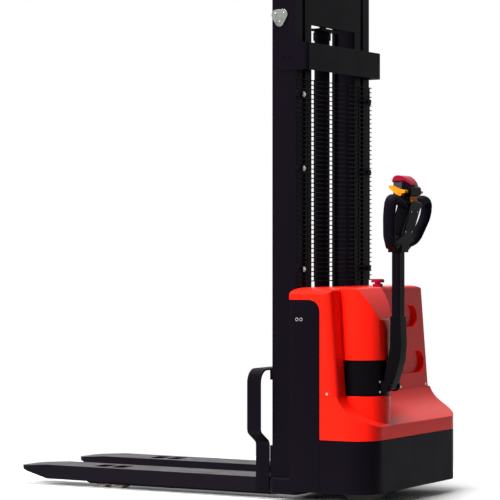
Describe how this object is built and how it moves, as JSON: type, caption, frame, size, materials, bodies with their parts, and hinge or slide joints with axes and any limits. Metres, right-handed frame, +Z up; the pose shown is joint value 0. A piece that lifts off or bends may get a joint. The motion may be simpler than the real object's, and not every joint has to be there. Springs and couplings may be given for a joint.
{
  "type": "electric stacker",
  "caption": "Walk-behind electric pallet stacker: straddled forks on a two-stage chain mast, steered drive tower, tiller with loop grips and a sloped red hood.",
  "frame": {"origin": "on the floor below the middle of the whole box", "axes": "+Z up, forks point along -X, operator and tiller at +X, drive tower on the -Y side"},
  "size_m": [1.824, 0.83, 2.04],
  "materials": {
    "red_cover": "smooth red moulded cover",
    "black_paint": "satin black paint on steel",
    "fork_paint": "black paint worn grey on top",
    "black_plastic": "grained black plastic",
    "grip_rubber": "soft black grip",
    "bare_steel": "machined steel",
    "zinc": "zinc plated steel",
    "chrome_rod": "hard chrome",
    "cast_housing": "painted casting",
    "roller_tread": "amber polyurethane",
    "wheel_tread": "dark tread",
    "orange_plastic": "orange plastic",
    "red_button": "red plastic",
    "grey_plastic": "grey plastic"
  },
  "bodies": {
    "chassis": {"support_leg_near": "black_paint", "support_leg_far": "black_paint", "bogie_pins": "bare_steel", "chassis_frame": "black_paint", "side_plate_near": "black_paint", "side_plate_far": "black_paint", "rear_skirt": "black_paint", "lower_cover": "red_cover", "upper_cover": "red_cover", "outer_rail_near": "black_paint", "outer_rail_far": "black_paint", "outer_ties": "black_paint", "mast_band": "black_paint", "guard_mesh": "black_paint", "guard_brackets": "black_paint", "roller_caps": "zinc", "lift_cylinder": "black_paint", "chain_anchors": "black_paint", "chain_rear": "bare_steel", "slew_ring": "bare_steel", "estop_housing": "black_plastic", "battery_pack": "grey_plastic", "pump_unit": "cast_housing", "motor_controller": "grey_plastic"},
    "inner_mast": {"inner_rail_near": "black_paint", "inner_rail_far": "black_paint", "inner_ties": "black_paint", "lift_rod": "chrome_rod", "chain_front": "bare_steel"},
    "carriage": {"fork_carriage": "black_paint", "fork_near": "fork_paint", "fork_far": "fork_paint", "backrest_hoop": "black_paint"},
    "drive_unit": {"drive_motor": "cast_housing", "drive_gearbox": "cast_housing", "steering_drum": "black_plastic", "tiller_pin": "bare_steel"},
    "tiller": {"tiller_boot": "black_plastic", "tiller_arm": "black_paint", "tiller_head": "black_plastic", "tiller_grips": "grip_rubber"},
    "upper_mast_rollers": {"upper_mast_rollers": "bare_steel"},
    "load_roller_rear_far": {"load_roller_rear_far": "roller_tread"},
    "drive_wheel": {"drive_wheel": "wheel_tread"},
    "caster_fork": {"caster_fork": "zinc"},
    "caster_wheel": {"caster_wheel": "wheel_tread"},
    "lift_rocker": {"lift_rocker": "orange_plastic"},
    "load_roller_front_near": {"load_roller_front_near": "roller_tread"},
    "estop_button": {"estop_button": "red_button"},
    "carriage_rollers_lower": {"carriage_rollers_lower": "bare_steel"},
    "lower_mast_rollers": {"lower_mast_rollers": "bare_steel"},
    "throttle_paddles": {"throttle_paddles": "orange_plastic"},
    "load_roller_front_far": {"load_roller_front_far": "roller_tread"},
    "bogie_far": {"bogie_far": "bare_steel"},
    "carriage_rollers_upper": {"carriage_rollers_upper": "bare_steel"},
    "chain_sheaves": {"chain_sheaves": "bare_steel"},
    "bogie_near": {"bogie_near": "bare_steel"},
    "load_roller_rear_near": {"load_roller_rear_near": "roller_tread"},
    "belly_button": {"belly_button": "red_button"}
  },
  "joints": [
    {"name": "mast_lift", "type": "slide", "parent": "chassis", "child": "inner_mast", "axis": [0, 0, 1], "range_m": [0, 1.45], "deforming": ["chain_rear"]},
    {"name": "carriage_lift", "type": "slide", "parent": "inner_mast", "child": "carriage", "axis": [0, 0, 1], "range_m": [0, 1.45], "deforming": ["chain_front"]},
    {"name": "upper_mast_rollers_spin", "type": "hinge", "parent": "chassis", "child": "upper_mast_rollers", "pos_m": [0.353, 0, 1.885], "axis": [0, 1, 0], "range_deg": [0, 3515]},
    {"name": "lower_mast_rollers_spin", "type": "hinge", "parent": "inner_mast", "child": "lower_mast_rollers", "pos_m": [0.369, 0, 0.164], "axis": [0, 1, 0], "range_deg": [0, 2098]},
    {"name": "chain_sheaves_spin", "type": "hinge", "parent": "inner_mast", "child": "chain_sheaves", "pos_m": [0.369, 0, 1.925], "axis": [0, 1, 0], "range_deg": [0, 2599]},
    {"name": "carriage_rollers_upper_spin", "type": "hinge", "parent": "carriage", "child": "carriage_rollers_upper", "pos_m": [0.369, 0, 0.43], "axis": [0, 1, 0], "range_deg": [0, 2098]},
    {"name": "carriage_rollers_lower_spin", "type": "hinge", "parent": "carriage", "child": "carriage_rollers_lower", "pos_m": [0.369, 0, 0.2], "axis": [0, 1, 0], "range_deg": [0, 2098]},
    {"name": "steering", "type": "hinge", "parent": "chassis", "child": "drive_unit", "pos_m": [0.68, -0.24, 0.262], "axis": [0, 0, 1], "range_deg": [-80, 80]},
    {"name": "drive_wheel_spin", "type": "hinge", "parent": "drive_unit", "child": "drive_wheel", "pos_m": [0.68, -0.24, 0.1], "axis": [0, 1, 0], "continuous": true},
    {"name": "tiller_tilt", "type": "hinge", "parent": "drive_unit", "child": "tiller", "pos_m": [0.796, -0.24, 0.456], "axis": [0, 1, 0], "range_deg": [0, 80], "stiffness_Nm_per_rad": 45, "springref_deg": -28.65},
    {"name": "paddle_turn", "type": "hinge", "parent": "tiller", "child": "throttle_paddles", "pos_m": [0.856, -0.24, 1.199], "axis": [0, 1, 0], "range_deg": [-25, 25], "stiffness_Nm_per_rad": 1},
    {"name": "belly_press", "type": "slide", "parent": "tiller", "child": "belly_button", "axis": [0, 0, -1], "range_m": [0, 0.004], "stiffness_N_per_m": 1500, "springref_m": -0.004},
    {"name": "rocker_turn", "type": "hinge", "parent": "tiller", "child": "lift_rocker", "pos_m": [0.886, -0.24, 1.171], "axis": [0, 1, 0], "range_deg": [-15, 15], "stiffness_Nm_per_rad": 0.5},
    {"name": "estop_press", "type": "slide", "parent": "chassis", "child": "estop_button", "axis": [0, 0, -1], "range_m": [0, 0.005], "stiffness_N_per_m": 900, "springref_m": -0.002},
    {"name": "caster_swivel", "type": "hinge", "parent": "chassis", "child": "caster_fork", "pos_m": [0.572, 0.255, 0.235], "axis": [0, 0, 1], "continuous": true},
    {"name": "caster_spin", "type": "hinge", "parent": "caster_fork", "child": "caster_wheel", "pos_m": [0.538, 0.255, 0.065], "axis": [0, 1, 0], "continuous": true},
    {"name": "bogie_near_rock", "type": "hinge", "parent": "chassis", "child": "bogie_near", "pos_m": [-0.486, -0.215, 0.037], "axis": [0, 1, 0], "range_deg": [-4, 4]},
    {"name": "load_roller_front_near_spin", "type": "hinge", "parent": "bogie_near", "child": "load_roller_front_near", "pos_m": [-0.527, -0.215, 0.037], "axis": [0, 1, 0], "continuous": true},
    {"name": "load_roller_rear_near_spin", "type": "hinge", "parent": "bogie_near", "child": "load_roller_rear_near", "pos_m": [-0.445, -0.215, 0.037], "axis": [0, 1, 0], "continuous": true},
    {"name": "bogie_far_rock", "type": "hinge", "parent": "chassis", "child": "bogie_far", "pos_m": [-0.486, 0.215, 0.037], "axis": [0, 1, 0], "range_deg": [-4, 4]},
    {"name": "load_roller_front_far_spin", "type": "hinge", "parent": "bogie_far", "child": "load_roller_front_far", "pos_m": [-0.527, 0.215, 0.037], "axis": [0, 1, 0], "continuous": true},
    {"name": "load_roller_rear_far_spin", "type": "hinge", "parent": "bogie_far", "child": "load_roller_rear_far", "pos_m": [-0.445, 0.215, 0.037], "axis": [0, 1, 0], "continuous": true}
  ],
  "couplings": [
    {"joint": "carriage_lift", "follows": "mast_lift", "ratio": 1},
    {"joint": "upper_mast_rollers_spin", "follows": "mast_lift", "rad_per_m": 42.283},
    {"joint": "lower_mast_rollers_spin", "follows": "mast_lift", "rad_per_m": 25.221},
    {"joint": "chain_sheaves_spin", "follows": "mast_lift", "rad_per_m": 31.25},
    {"joint": "carriage_rollers_upper_spin", "follows": "mast_lift", "rad_per_m": 25.221},
    {"joint": "carriage_rollers_lower_spin", "follows": "mast_lift", "rad_per_m": 25.221}
  ]
}
